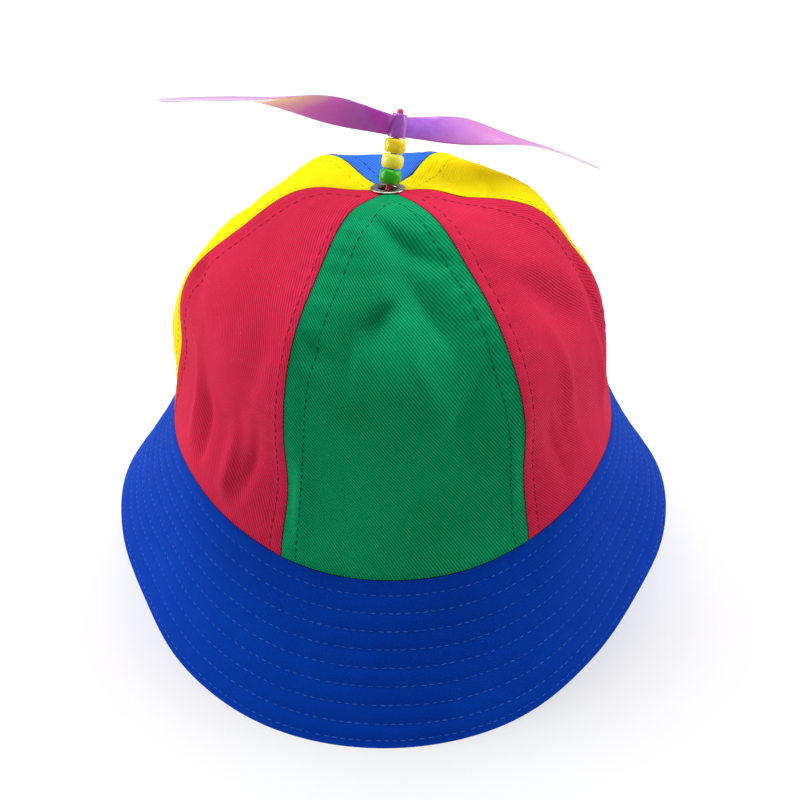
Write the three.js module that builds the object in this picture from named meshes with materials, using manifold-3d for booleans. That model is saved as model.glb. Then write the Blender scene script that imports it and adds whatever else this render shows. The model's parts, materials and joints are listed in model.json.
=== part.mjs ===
// Propeller hat: a six-gore cloth crown on a stitched cloth brim, with an eyelet in the
// middle of the top, a stem through it, three barrel beads on the stem and a two-blade
// propeller that spins above them. Millimetres, +Z up, the front of the hat faces -Y.
// The hat lies on its brim at Z = 0. Azimuth 0 is the front and grows towards +X.
import * as THREE from 'three';
import { mergeVertices } from 'three/addons/utils/BufferGeometryUtils.js';
import Module from 'manifold-3d';

const wasm = await Module();
wasm.setup();

// Driving sizes of the cloth parts
const headGirth = 590; // round the outside of the crown where it meets the brim
const topHeight = 160; // crown top above the surface
const seamHeight = 57; // crown and brim seam above the surface, at the sides
const brimReach = 40; // how far the brim reaches out past its seam, seen from above
const crownWall = 1.6;
const brimWall = 2.2;
const brimSag = 1.6; // how far the brim's cloth sags between seam and rim
const goreTurn = 3.4; // degrees that the front gore is turned to the right
const topShiftSide = -1.7; // how far the crown's top leans to the right of its base
const topShiftBack = 2.2; // how far the crown's top leans to the back of its base
const dentDepth = 10; // the unit of the depths in the table of folds
const foldDrop = 183; // the drop from eyelet to base seam that the table of folds is laid out on
const foldsStart = 0.05; // share of that drop where the folds begin
const foldsFull = 0.16; // share where they have their full depth
const foldsFade = 0.86; // share where they begin to fade towards the base seam
const seamGap = 0.3; // between two cut edges that are sewn together

// Driving sizes of the eyelet
const eyeletHoleRadius = 3.7;
const eyeletBarrelWall = 0.5;
const eyeletLip = 2.5; // how far the flange reaches past the barrel
const eyeletSheet = 0.7; // thickness of the flange
const eyeletTilt = 15; // degrees that the top of the crown tips back round the eyelet
const seatClearance = 0.3; // between pieces that rest on each other

// Driving sizes of the stem, the beads and the propeller
const stemRadius = 1.15;
const stemBulbRadius = 4.6; // the hidden end inside the crown, wider than the eyelet's hole
const stemLeanBack = 29; // degrees
const stemLeanSide = 10.3; // degrees, to the right
const stemProud = 1.9; // tip above the hub
const beadRadius = 4.2;
const beadEndRadius = 2.9;
const beadHeight = 5.5;
const beadShoulder = 0.75; // how full the barrel is, as a share of its height
const beadClearance = 0.3; // round the stem
const hubHeight = 9;
const hubTopRadius = 2.75;
const hubFootRadius = 3.5;
const runningClearance = 0.35; // between the stem and the spinning hub
const bladeLength = 94; // from the spin axis to the tip
const bladeWidth = 15; // the widest chord
const bladeSheet = 1.3; // thickness at the middle of the chord
const bladeEdge = 0.7; // thickness at the two long edges
const bladeCamber = 0.8; // how far the middle of the chord arches
const bladeMount = 4.05; // root of the blades above the foot of the hub
const bladeTipStart = 0.93; // share of the length where the tip begins to round off
const bladeTipBlunt = 0.17; // the tip's own width, as a share of the chord there
const bladeTurn = 25; // degrees that the left blade is turned to the front at rest

// How finely the shapes are divided
const goreColumns = 10;
const goreRows = 24;
const brimColumns = 72;
const brimRows = 4;
const bladeSteps = 22;
const bladeColumns = 4;
const roundSides = 16;
const eyeletSides = 24;
const arcSteps = 5;

// Rings of the crown from the eyelet down to the base seam, at even steps along the cloth.
// out: share of the way from the eyelet's hole to the base radius, measured on a seam
// up: share of the height between the base seam and the crown top
// round: 0 where a gore is flat between its seams, 1 where the ring is round
// tip: share of the eyelet's tilt that this ring takes
const crownRings = [
  { out: 0.0, up: 0.991, round: 1.0, tip: 1.0 },
  { out: 0.109, up: 0.993, round: 0.9, tip: 1.0 },
  { out: 0.216, up: 1.007, round: 0.7, tip: 0.75 },
  { out: 0.325, up: 1.004, round: 0.6, tip: 0.4 },
  { out: 0.429, up: 0.972, round: 0.5, tip: 0.15 },
  { out: 0.53, up: 0.925, round: 0.45, tip: 0.0 },
  { out: 0.623, up: 0.879, round: 0.45, tip: 0.0 },
  { out: 0.712, up: 0.823, round: 0.45, tip: 0.0 },
  { out: 0.787, up: 0.749, round: 0.45, tip: 0.0 },
  { out: 0.845, up: 0.668, round: 0.5, tip: 0.0 },
  { out: 0.881, up: 0.58, round: 0.55, tip: 0.0 },
  { out: 0.901, up: 0.488, round: 0.6, tip: 0.0 },
  { out: 0.906, up: 0.395, round: 0.65, tip: 0.0 },
  { out: 0.913, up: 0.302, round: 0.7, tip: 0.0 },
  { out: 0.933, up: 0.213, round: 0.8, tip: 0.0 },
  { out: 0.966, up: 0.112, round: 0.9, tip: 0.0 },
  { out: 1.0, up: 0.0, round: 1.0, tip: 0.0 },
];

// Swells and dents of the crown's cloth.
// azimuth and slant in degrees, down as a share of the way from eyelet to base seam,
// across and along as shares of the base radius, rise as a share of dentDepth
const crownFolds = [
  { azimuth: -27, down: 0.27, slant: 0, across: 0.22, along: 0.28, rise: 0.35 },
  { azimuth: -27, down: 0.46, slant: 0, across: 0.18, along: 0.24, rise: 0.25 },
  { azimuth: -27, down: 0.87, slant: 0, across: 0.2, along: 0.2, rise: -0.3 },
  { azimuth: 33, down: 0.7, slant: 0, across: 0.25, along: 0.36, rise: 0.35 },
  { azimuth: 33, down: 0.33, slant: 0, across: 0.2, along: 0.25, rise: 0.15 },
  { azimuth: -87, down: 0.42, slant: 0, across: 0.2, along: 0.24, rise: -0.35 },
  { azimuth: -85, down: 0.79, slant: 0, across: 0.16, along: 0.18, rise: -0.2 },
  { azimuth: -102, down: 0.82, slant: 0, across: 0.2, along: 0.32, rise: 1.2 },
  { azimuth: -117, down: 0.42, slant: 0, across: 0.3, along: 0.25, rise: -0.35 },
  { azimuth: 93, down: 0.17, slant: 0, across: 0.26, along: 0.22, rise: -0.6 },
  { azimuth: 93, down: 0.5, slant: 0, across: 0.2, along: 0.2, rise: -0.35 },
  { azimuth: 115, down: 0.41, slant: 0, across: 0.25, along: 0.28, rise: 0.38 },
  { azimuth: 84, down: 0.8, slant: 0, across: 0.26, along: 0.26, rise: 0.5 },
  { azimuth: 180, down: 0.26, slant: 0, across: 0.3, along: 0.15, rise: -0.25 },
  { azimuth: 165, down: 0.44, slant: 0, across: 0.45, along: 0.28, rise: -0.7 },
  { azimuth: -150, down: 0.46, slant: 0, across: 0.3, along: 0.22, rise: -0.5 },
  { azimuth: 10, down: 0.22, slant: -46, across: 0.07, along: 0.2, rise: -0.25 },
  { azimuth: 14, down: 0.4, slant: -20, across: 0.06, along: 0.2, rise: -0.28 },
  { azimuth: -7, down: 0.44, slant: 35, across: 0.06, along: 0.14, rise: -0.28 },
  { azimuth: -7, down: 0.6, slant: 0, across: 0.09, along: 0.2, rise: -0.3 },
  { azimuth: 6, down: 0.52, slant: 0, across: 0.13, along: 0.12, rise: 0.3 },
  { azimuth: 22, down: 0.62, slant: 0, across: 0.11, along: 0.16, rise: -0.3 },
  { azimuth: -20, down: 0.85, slant: 0, across: 0.1, along: 0.2, rise: 0.2 },
  { azimuth: -47, down: 0.82, slant: 8, across: 0.06, along: 0.25, rise: -0.2 },
  { azimuth: -62, down: 0.84, slant: 12, across: 0.06, along: 0.22, rise: -0.2 },
  { azimuth: 68, down: 0.56, slant: -25, across: 0.08, along: 0.2, rise: -0.3 },
  { azimuth: 50, down: 0.82, slant: -10, across: 0.07, along: 0.22, rise: -0.2 },
  { azimuth: 115, down: 0.22, slant: 40, across: 0.08, along: 0.16, rise: -0.25 },
  { azimuth: -140, down: 0.8, slant: 15, across: 0.1, along: 0.25, rise: -0.3 },
  { azimuth: 140, down: 0.78, slant: -15, across: 0.1, along: 0.25, rise: -0.3 },
  { azimuth: 178, down: 0.7, slant: 0, across: 0.14, along: 0.2, rise: -0.35 },
];

// Stations round the brim, at even steps of azimuth from the back through the left side.
// seam: height of the crown and brim seam, as a share of seamHeight
// wide: distance of that seam from the middle, as a share of the base radius
// reach: how far the rim lies outside the seam, as a share of brimReach
const brimStations = [
  { seam: 0.86, wide: 1.01, reach: 1.0 },
  { seam: 0.89, wide: 1.01, reach: 0.94 },
  { seam: 0.96, wide: 1.0, reach: 0.81 },
  { seam: 1.0, wide: 0.99, reach: 0.73 },
  { seam: 1.0, wide: 0.98, reach: 0.78 },
  { seam: 1.02, wide: 0.98, reach: 0.7 },
  { seam: 1.04, wide: 0.99, reach: 0.66 },
  { seam: 0.97, wide: 1.01, reach: 0.82 },
  { seam: 0.86, wide: 1.01, reach: 1.0 },
  { seam: 0.84, wide: 1.01, reach: 1.03 },
  { seam: 0.87, wide: 1.01, reach: 0.93 },
  { seam: 0.98, wide: 1.01, reach: 0.69 },
  { seam: 1.04, wide: 0.99, reach: 0.6 },
  { seam: 1.02, wide: 0.98, reach: 0.7 },
  { seam: 1.0, wide: 0.98, reach: 0.78 },
  { seam: 1.0, wide: 0.99, reach: 0.73 },
  { seam: 0.96, wide: 1.0, reach: 0.81 },
  { seam: 0.89, wide: 1.01, reach: 0.94 },
];

// Sections of a blade from the spin axis to the tip, at even steps.
// chord: share of bladeWidth, pitch: degrees from the plane of the spin,
// lift: share of bladeLength that the section stands above the plane of the spin
const bladeSections = [
  { chord: 0.5, pitch: 72, lift: 0.0 },
  { chord: 0.62, pitch: 64, lift: 0.008 },
  { chord: 0.78, pitch: 56, lift: 0.016 },
  { chord: 0.92, pitch: 46, lift: 0.024 },
  { chord: 0.97, pitch: 33, lift: 0.028 },
  { chord: 0.92, pitch: 20, lift: 0.026 },
  { chord: 0.8, pitch: 9, lift: 0.018 },
  { chord: 0.72, pitch: 1, lift: 0.006 },
  { chord: 0.82, pitch: 1, lift: -0.01 },
  { chord: 0.9, pitch: 3, lift: -0.028 },
  { chord: 0.6, pitch: 3, lift: -0.046 },
];

// The six gores, one every sixty degrees, from the front round to the right
const gores = [
  { name: 'front_panel', color: 0x0a9a62 },
  { name: 'right_front_panel', color: 0xc82a46 },
  { name: 'right_rear_panel', color: 0xf2e40a },
  { name: 'rear_panel', color: 0x1450c8 },
  { name: 'left_rear_panel', color: 0xf2e40a },
  { name: 'left_front_panel', color: 0xc82a46 },
];

const beads = [
  { name: 'bead_lower', color: 0x2a9f08 },
  { name: 'bead_middle', color: 0xf4ee52 },
  { name: 'bead_upper', color: 0xf8d618 },
];

// Sizes that follow from the ones above
const baseRadius = headGirth / (2 * Math.PI);
const goreAngle = (2 * Math.PI) / gores.length;
const barrelRadius = eyeletHoleRadius + eyeletBarrelWall;
const clothHoleRadius = barrelRadius + seatClearance;

// A smooth value from a table whose rows lie at even steps, open at both ends or closed
// into a loop: share runs from 0 at the first row to 1 at the last (or the first again).
function tableValue(rows, column, share, loop = false) {
  const steps = loop ? rows.length : rows.length - 1;
  const place = THREE.MathUtils.clamp(share, 0, 1) * steps;
  const first = Math.min(Math.floor(place), steps - 1);
  const pick = (index) => {
    if (loop) return rows[(index + rows.length) % rows.length][column];
    if (index < 0) return 2 * rows[0][column] - rows[1][column];
    if (index > steps) return 2 * rows[steps][column] - rows[steps - 1][column];
    return rows[index][column];
  };
  const [a, b, c, d] = [pick(first - 1), pick(first), pick(first + 1), pick(first + 2)];
  const t = place - first;
  const bend = 2 * a - 5 * b + 4 * c - d;
  const twist = 3 * (b - c) + d - a;
  return b + 0.5 * t * (c - a + t * (bend + t * twist));
}

// Signed volume of a closed mesh, positive when its faces point outwards
function signedVolume(geometry) {
  const position = geometry.attributes.position;
  const corner = (k) => new THREE.Vector3().fromBufferAttribute(position, geometry.index.getX(k));
  let volume = 0;
  for (let k = 0; k < geometry.index.count; k += 3) {
    volume += corner(k).dot(corner(k + 1).cross(corner(k + 2))) / 6;
  }
  return volume;
}

// One closed body from any geometry: shared corners are merged and its faces point outwards
function closedBody(geometry) {
  geometry.deleteAttribute('normal');
  geometry.deleteAttribute('uv');
  const body = mergeVertices(geometry, 1e-4);
  if (signedVolume(body) < 0) body.index.array.reverse();
  body.computeVertexNormals();
  return body;
}

// Moves every corner of a geometry to the place that a function gives for it
function reshape(geometry, place) {
  const position = geometry.attributes.position;
  const corner = new THREE.Vector3();
  for (let k = 0; k < position.count; k += 1) {
    corner.fromBufferAttribute(position, k);
    const moved = place(corner);
    position.setXYZ(k, moved.x, moved.y, moved.z);
  }
  return geometry;
}

// A profile of (radius, height) points turned about +Z
function turned(points, sides) {
  return closedBody(new THREE.LatheGeometry(points, sides).rotateX(Math.PI / 2));
}

function toManifold(geometry) {
  return new wasm.Manifold(new wasm.Mesh({
    numProp: 3,
    vertProperties: new Float32Array(geometry.attributes.position.array),
    triVerts: new Uint32Array(geometry.index.array),
  }));
}

function fromManifold(solid) {
  const mesh = solid.getMesh();
  const geometry = new THREE.BufferGeometry();
  geometry.setAttribute('position', new THREE.BufferAttribute(mesh.vertProperties, 3));
  geometry.setIndex(new THREE.BufferAttribute(mesh.triVerts, 1));
  return closedBody(geometry);
}

// A value of the brim's stations at any azimuth
function stationValue(column, azimuth) {
  const share = THREE.MathUtils.euclideanModulo(azimuth / (2 * Math.PI) + 0.5, 1);
  return tableValue(brimStations, column, share, true);
}

// Height of the seam between crown and brim, and its distance from the middle
const seamHeightAt = (azimuth) => seamHeight * stationValue('seam', azimuth);
const seamRadiusAt = (azimuth) => baseRadius * stationValue('wide', azimuth);

// A place in the upright plane through the hat's middle at one azimuth
function atAzimuth(azimuth, radius, height) {
  return new THREE.Vector3(radius * Math.sin(azimuth), -radius * Math.cos(azimuth), height);
}

// The crown's outer face before its folds: radius and height
function crownProfile(azimuth, down) {
  const ring = (column) => tableValue(crownRings, column, down);
  const seamRadius = clothHoleRadius + ring('out') * (seamRadiusAt(azimuth) - clothHoleRadius);
  const fromGore = azimuth - THREE.MathUtils.degToRad(goreTurn);
  const inGore = THREE.MathUtils.euclideanModulo(fromGore + goreAngle / 2, goreAngle) - goreAngle / 2;
  const flat = Math.cos(goreAngle / 2) / Math.cos(inGore);
  const radius = seamRadius * THREE.MathUtils.lerp(flat, 1, ring('round'));
  const seamTop = seamHeightAt(azimuth);
  const tipSlope = ring('tip') * Math.tan(THREE.MathUtils.degToRad(eyeletTilt));
  const height = seamTop + ring('up') * (topHeight - seamTop) + tipSlope * radius * Math.cos(azimuth);
  return new THREE.Vector2(radius, height);
}

// How far the folds push the cloth outwards. They fade out at the eyelet and at the base seam.
function foldRise(azimuth, down, radius) {
  let rise = 0;
  for (const fold of crownFolds) {
    const turn = azimuth - THREE.MathUtils.degToRad(fold.azimuth);
    const round = Math.atan2(Math.sin(turn), Math.cos(turn)) * radius;
    const drop = (down - fold.down) * foldDrop;
    const slant = THREE.MathUtils.degToRad(fold.slant);
    const across = (round * Math.cos(slant) + drop * Math.sin(slant)) / (fold.across * baseRadius);
    const along = (drop * Math.cos(slant) - round * Math.sin(slant)) / (fold.along * baseRadius);
    rise += fold.rise * dentDepth * Math.exp(-across * across - along * along);
  }
  const fromEyelet = THREE.MathUtils.smoothstep(down, foldsStart, foldsFull);
  const fromSeam = 1 - THREE.MathUtils.smoothstep(down, foldsFade, 1);
  return rise * fromEyelet * fromSeam;
}

// A place in the crown's cloth, at a depth under its outer face
function crownPlace(azimuth, down, depth) {
  const step = 0.01;
  const here = crownProfile(azimuth, down);
  const slope = crownProfile(azimuth, Math.min(down + step, 1))
    .sub(crownProfile(azimuth, Math.max(down - step, 0))).normalize();
  const outwards = foldRise(azimuth, down, here.x) - depth;
  const radius = here.x - slope.y * outwards;
  const height = here.y + slope.x * outwards;
  const lean = tableValue(crownRings, 'up', down);
  return atAzimuth(azimuth, radius, height).add(
    new THREE.Vector3(topShiftSide * lean, topShiftBack * lean, 0),
  );
}

// One gore: a block bent onto the crown, its X across the gore, its Y up and its Z outwards
function goreGeometry(index) {
  const middle = THREE.MathUtils.degToRad(goreTurn) + index * goreAngle;
  const block = new THREE.BoxGeometry(1, 1, 1, goreColumns, goreRows, 1);
  return closedBody(reshape(block, (corner) => {
    const down = 0.5 - corner.y;
    const edge = goreAngle / 2 - Math.asin(seamGap / 2 / crownProfile(middle, down).x);
    return crownPlace(middle + 2 * corner.x * edge, down, (0.5 - corner.z) * crownWall);
  }));
}

// A place in the brim's cloth: out runs from the seam to the rim, inwards from the face
// that shows to the one underneath. The rim is cut level where the hat lies.
function brimPlace(azimuth, out, inwards) {
  const top = seamHeightAt(azimuth) - seatClearance;
  const reach = brimReach * stationValue('reach', azimuth);
  const slope = Math.atan2(top, reach);
  const start = new THREE.Vector2(seamRadiusAt(azimuth), top);
  const rim = start.clone().setY(0);
  rim.x += reach;
  if (inwards > 0) {
    start.x -= brimWall * Math.sin(slope);
    start.y -= brimWall * Math.cos(slope);
    rim.x -= brimWall / Math.sin(slope);
  }
  const section = start.lerp(rim, out);
  const sag = brimSag * Math.sin(Math.PI * out);
  section.x -= sag * Math.sin(slope);
  section.y -= sag * Math.cos(slope);
  return atAzimuth(azimuth, section.x, section.y);
}

// The brim: a flat ring, one wide and one thick, bent into the brim's sections
function brimGeometry() {
  const outline = [];
  for (let k = 0; k <= brimRows; k += 1) outline.push(new THREE.Vector2(1 + k / brimRows, 1));
  for (let k = brimRows; k >= 0; k -= 1) outline.push(new THREE.Vector2(1 + k / brimRows, 0));
  outline.push(outline[0].clone());
  const ring = new THREE.LatheGeometry(outline, brimColumns);
  return closedBody(reshape(ring, (corner) => {
    const out = Math.hypot(corner.x, corner.z) - 1;
    return brimPlace(Math.atan2(corner.x, corner.z), out, 1 - corner.y);
  }));
}

// The eyelet, with its own axis up and its height 0 on the cloth's outer face
function eyeletGeometry() {
  const flangeRadius = barrelRadius + eyeletLip;
  const upper = seatClearance;
  const lower = -crownWall - seatClearance;
  const profile = new THREE.Path();
  profile.moveTo(eyeletHoleRadius, lower);
  profile.lineTo(eyeletHoleRadius, upper);
  profile.quadraticCurveTo(eyeletHoleRadius, upper + eyeletSheet, barrelRadius, upper + eyeletSheet);
  profile.lineTo(flangeRadius - eyeletSheet, upper + eyeletSheet);
  profile.quadraticCurveTo(flangeRadius, upper + eyeletSheet, flangeRadius, upper);
  profile.lineTo(barrelRadius, upper);
  profile.lineTo(barrelRadius, lower);
  profile.lineTo(flangeRadius - eyeletSheet, lower);
  profile.lineTo(flangeRadius - eyeletSheet, lower - eyeletSheet);
  profile.lineTo(eyeletHoleRadius + eyeletSheet, lower - eyeletSheet);
  profile.closePath();
  return turned(profile.getPoints(arcSteps), eyeletSides);
}

// The stem, with its own axis up and its height 0 in the middle of the eyelet's depth
function stemGeometry(bulbHeight, tipHeight) {
  const bulbTop = Math.sqrt(stemBulbRadius ** 2 - stemRadius ** 2);
  const profile = new THREE.Path();
  profile.absarc(0, bulbHeight, stemBulbRadius, -Math.PI / 2, Math.atan2(bulbTop, stemRadius));
  profile.lineTo(stemRadius, tipHeight - stemRadius);
  profile.absarc(0, tipHeight - stemRadius, stemRadius, 0, Math.PI / 2);
  return turned(profile.getPoints(arcSteps), roundSides);
}

// A barrel bead, bored for the stem, its height 0 at its foot
function beadGeometry() {
  const bore = stemRadius + beadClearance;
  const shoulder = beadShoulder * beadHeight;
  const handle = (4 * beadRadius - beadEndRadius) / 3; // brings the curve's middle to beadRadius
  const profile = new THREE.Path();
  profile.moveTo(bore, 0);
  profile.lineTo(beadEndRadius, 0);
  profile.bezierCurveTo(
    handle, beadHeight - shoulder, handle, shoulder, beadEndRadius, beadHeight,
  );
  profile.lineTo(bore, beadHeight);
  profile.closePath();
  return turned(profile.getPoints(2 * arcSteps), roundSides);
}

// A place in a blade that points to -X, in the propeller's own frame with +Z along its axis
function bladePlace(along, across, through) {
  const section = (column) => tableValue(bladeSections, column, along);
  const inTip = THREE.MathUtils.clamp((along - bladeTipStart) / (1 - bladeTipStart), 0, 1);
  const tipRound = Math.max(Math.sqrt(1 - inTip * inTip), bladeTipBlunt);
  const chord = bladeWidth * section('chord') * tipRound;
  const pitch = THREE.MathUtils.degToRad(section('pitch'));
  const toEdge = 4 * across * across;
  const sheet = THREE.MathUtils.lerp(bladeSheet, bladeEdge, toEdge);
  const offset = bladeCamber * (1 - toEdge) * section('chord') + through * sheet;
  const chordwise = across * chord;
  return new THREE.Vector3(
    -along * bladeLength,
    -chordwise * Math.cos(pitch) + offset * Math.sin(pitch),
    chordwise * Math.sin(pitch) + offset * Math.cos(pitch) + section('lift') * bladeLength + bladeMount,
  );
}

// The propeller: two blades on a bored hub, its height 0 at the foot of the hub
function propellerGeometry() {
  const hub = toManifold(turned([
    new THREE.Vector2(0, 0),
    new THREE.Vector2(hubFootRadius, 0),
    new THREE.Vector2(hubTopRadius, hubHeight),
    new THREE.Vector2(0, hubHeight),
  ], roundSides));
  const blade = closedBody(reshape(
    new THREE.BoxGeometry(1, 1, 1, bladeSteps, bladeColumns, 1),
    (corner) => bladePlace(0.5 - corner.x, corner.y, corner.z),
  ));
  const boreRadius = stemRadius + runningClearance;
  const boreLength = 3 * hubHeight;
  const bore = toManifold(closedBody(
    new THREE.CylinderGeometry(boreRadius, boreRadius, boreLength, roundSides).rotateX(Math.PI / 2),
  ));
  const left = toManifold(blade);
  const right = toManifold(closedBody(blade.clone().rotateZ(Math.PI)));
  return fromManifold(hub.add(left).add(right).subtract(bore));
}

function named(name, geometry, material) {
  const mesh = new THREE.Mesh(geometry, material);
  mesh.name = name;
  return mesh;
}

const cloth = (color) => new THREE.MeshStandardMaterial({ color, roughness: 0.9, metalness: 0 });
const gloss = (color) => new THREE.MeshStandardMaterial({ color, roughness: 0.25, metalness: 0 });

// Cloth parts
const hat = new THREE.Group();
gores.forEach((gore, index) => hat.add(named(gore.name, goreGeometry(index), cloth(gore.color))));
const brim = named('brim', brimGeometry(), cloth(0x0a3fae));
hat.add(brim);

// The top of the crown tips back round the eyelet, so the eyelet's axis does too
const topLift = tableValue(crownRings, 'up', 0);
const seatRing = new THREE.Vector3(
  topShiftSide * topLift,
  topShiftBack * topLift,
  THREE.MathUtils.lerp(seamHeightAt(0), topHeight, topLift),
);
const eyelet = named('top_eyelet', eyeletGeometry(), new THREE.MeshStandardMaterial({
  color: 0x9a948a,
  roughness: 0.35,
  metalness: 0.9,
}));
eyelet.position.copy(seatRing);
eyelet.rotation.x = -THREE.MathUtils.degToRad(eyeletTilt);
hat.add(eyelet);

// The stem's own frame: its origin in the middle of the eyelet's depth, +Z along the stem
const mast = new THREE.Group();
const leanBack = Math.tan(THREE.MathUtils.degToRad(stemLeanBack));
const leanSide = Math.tan(THREE.MathUtils.degToRad(stemLeanSide));
const stemAxis = new THREE.Vector3(leanSide, leanBack, 1).normalize();
const eyeletAxis = new THREE.Vector3(0, 0, 1).applyEuler(eyelet.rotation);
mast.quaternion.setFromUnitVectors(new THREE.Vector3(0, 0, 1), stemAxis);
mast.position.copy(seatRing).addScaledVector(eyeletAxis, -crownWall / 2);
hat.add(mast);

// Where the lowest bead comes to rest: the low edge of its foot lies on the flange
const leanCos = stemAxis.dot(eyeletAxis);
const leanSin = Math.sqrt(1 - leanCos ** 2);
const halfDepth = crownWall / 2 + seatClearance + eyeletSheet;
const firstBead = (halfDepth + seatClearance + beadEndRadius * leanSin) / leanCos;
const hubFoot = firstBead + beads.length * (beadHeight + seatClearance);
const bulbHeight = -(halfDepth + seatClearance + stemBulbRadius) / leanCos;

mast.add(named('stem', stemGeometry(bulbHeight, hubFoot + hubHeight + stemProud), gloss(0xb5232e)));
beads.forEach((bead, index) => {
  const mesh = named(bead.name, beadGeometry(), gloss(bead.color));
  mesh.position.z = firstBead + index * (beadHeight + seatClearance);
  mast.add(mesh);
});

const propeller = named('propeller', propellerGeometry(), gloss(0xa050b0));
propeller.position.z = hubFoot;
propeller.rotation.z = THREE.MathUtils.degToRad(bladeTurn);
mast.add(propeller);

// The origin lies on the surface, under the middle of the brim's outline
const outline = new THREE.Box3().setFromObject(brim).getCenter(new THREE.Vector3());
hat.position.set(-outline.x, -outline.y, 0);
hat.updateMatrixWorld(true);

export default hat;
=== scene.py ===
import json
import math
import random

import bmesh
import bpy
import numpy as np
from mathutils import Matrix, Vector, noise
from mathutils.bvhtree import BVHTree
from mathutils.kdtree import KDTree


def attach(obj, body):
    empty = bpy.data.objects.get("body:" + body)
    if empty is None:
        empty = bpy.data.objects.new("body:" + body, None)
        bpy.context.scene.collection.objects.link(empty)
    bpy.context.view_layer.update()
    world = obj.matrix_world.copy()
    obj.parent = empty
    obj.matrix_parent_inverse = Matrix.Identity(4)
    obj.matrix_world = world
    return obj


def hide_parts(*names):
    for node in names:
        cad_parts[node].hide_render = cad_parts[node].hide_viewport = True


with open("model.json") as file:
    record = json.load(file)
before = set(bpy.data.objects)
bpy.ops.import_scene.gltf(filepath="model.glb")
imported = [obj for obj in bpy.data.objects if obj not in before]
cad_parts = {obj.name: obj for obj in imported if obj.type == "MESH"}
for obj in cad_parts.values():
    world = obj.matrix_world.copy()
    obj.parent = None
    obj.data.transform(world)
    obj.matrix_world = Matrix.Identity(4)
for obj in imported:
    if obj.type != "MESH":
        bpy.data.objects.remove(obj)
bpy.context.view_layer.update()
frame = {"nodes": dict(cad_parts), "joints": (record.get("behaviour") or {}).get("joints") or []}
nodes = frame["nodes"]
spinJoint = frame["joints"][0]
mm = 0.001
cutAngle = math.radians(50)  # an edge sharper than this is a cut edge of the cloth
mergeDistance = 0.001 * mm
print("frame loaded:", len(nodes), "nodes")

# camera: straight at the front of the hat, looking down on it
cameraSetup = {
    "elevation": 40,
    "distance": 0.62,
    "lens": 65.8,
    "target": (0, 0, 0.052),
    "aside": 0.0029,  # the hat stands a little left of the middle of the picture
    "above": 0.0042,  # and a little below it
}
tilt = math.radians(cameraSetup["elevation"])
cameraBack = Vector((0, -math.cos(tilt), math.sin(tilt)))
cameraUp = Vector((0, math.sin(tilt), math.cos(tilt)))
cameraData = bpy.data.cameras.new("photoCamera")
cameraData.lens = cameraSetup["lens"]
cameraData.sensor_width = 36
photoCamera = bpy.data.objects.new("photoCamera", cameraData)
photoCamera.location = (
    Vector(cameraSetup["target"])
    + Vector((cameraSetup["aside"], 0, 0))
    + cameraUp * cameraSetup["above"]
    + cameraBack * cameraSetup["distance"]
)
photoCamera.rotation_euler = (math.pi / 2 - tilt, 0, 0)
bpy.context.scene.collection.objects.link(photoCamera)
bpy.context.scene.camera = photoCamera


# short ways to make and join shader nodes
def put(tree, kind, values=None, **settings):
    node = tree.nodes.new("ShaderNode" + kind)
    for key, value in settings.items():
        setattr(node, key, value)
    for key, value in (values or {}).items():
        feed(tree, node.inputs[key], value)
    return node


def feed(tree, socket, value):
    if isinstance(value, bpy.types.NodeSocket):
        tree.links.new(value, socket)
    else:
        socket.default_value = value


def maths(tree, operation, first, second=0.0, clamp=False):
    node = put(tree, "Math", operation=operation, use_clamp=clamp)
    feed(tree, node.inputs[0], first)
    feed(tree, node.inputs[1], second)
    return node.outputs[0]


def mixColour(tree, factor, first, second):
    # inputs 6 and 7 and output 2 are the colour sockets of the Mix node
    node = put(tree, "Mix", data_type="RGBA")
    feed(tree, node.inputs[0], factor)
    feed(tree, node.inputs[6], first)
    feed(tree, node.inputs[7], second)
    return node.outputs[2]


def ramp(tree, value, low, high, outLow=0.0, outHigh=1.0):
    node = put(tree, "MapRange", interpolation_type="SMOOTHSTEP")
    for key, number in (("From Min", low), ("From Max", high), ("To Min", outLow), ("To Max", outHigh)):
        node.inputs[key].default_value = number
    feed(tree, node.inputs["Value"], value)
    return node.outputs["Result"]


def newGroup(name, inputs, outputs):
    group = bpy.data.node_groups.new(name, "ShaderNodeTree")
    for label, kind, value in inputs:
        socket = group.interface.new_socket(label, in_out="INPUT", socket_type="NodeSocket" + kind)
        if value is not None:
            socket.default_value = value
    for label, kind in outputs:
        group.interface.new_socket(label, in_out="OUTPUT", socket_type="NodeSocket" + kind)
    return group, group.nodes.new("NodeGroupInput").outputs, group.nodes.new("NodeGroupOutput").inputs


def useGroup(tree, group, values):
    node = put(tree, "Group", node_tree=group)
    for key, value in values.items():
        feed(tree, node.inputs[key], value)
    return node.outputs


def paint(red, green, blue):
    # a colour of 0 to 255 as a picture shows it
    shares = [channel / 255 for channel in (red, green, blue)]
    linear = [s / 12.92 if s <= 0.04045 else ((s + 0.055) / 1.055) ** 2.4 for s in shares]
    return (*linear, 1.0)


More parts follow.
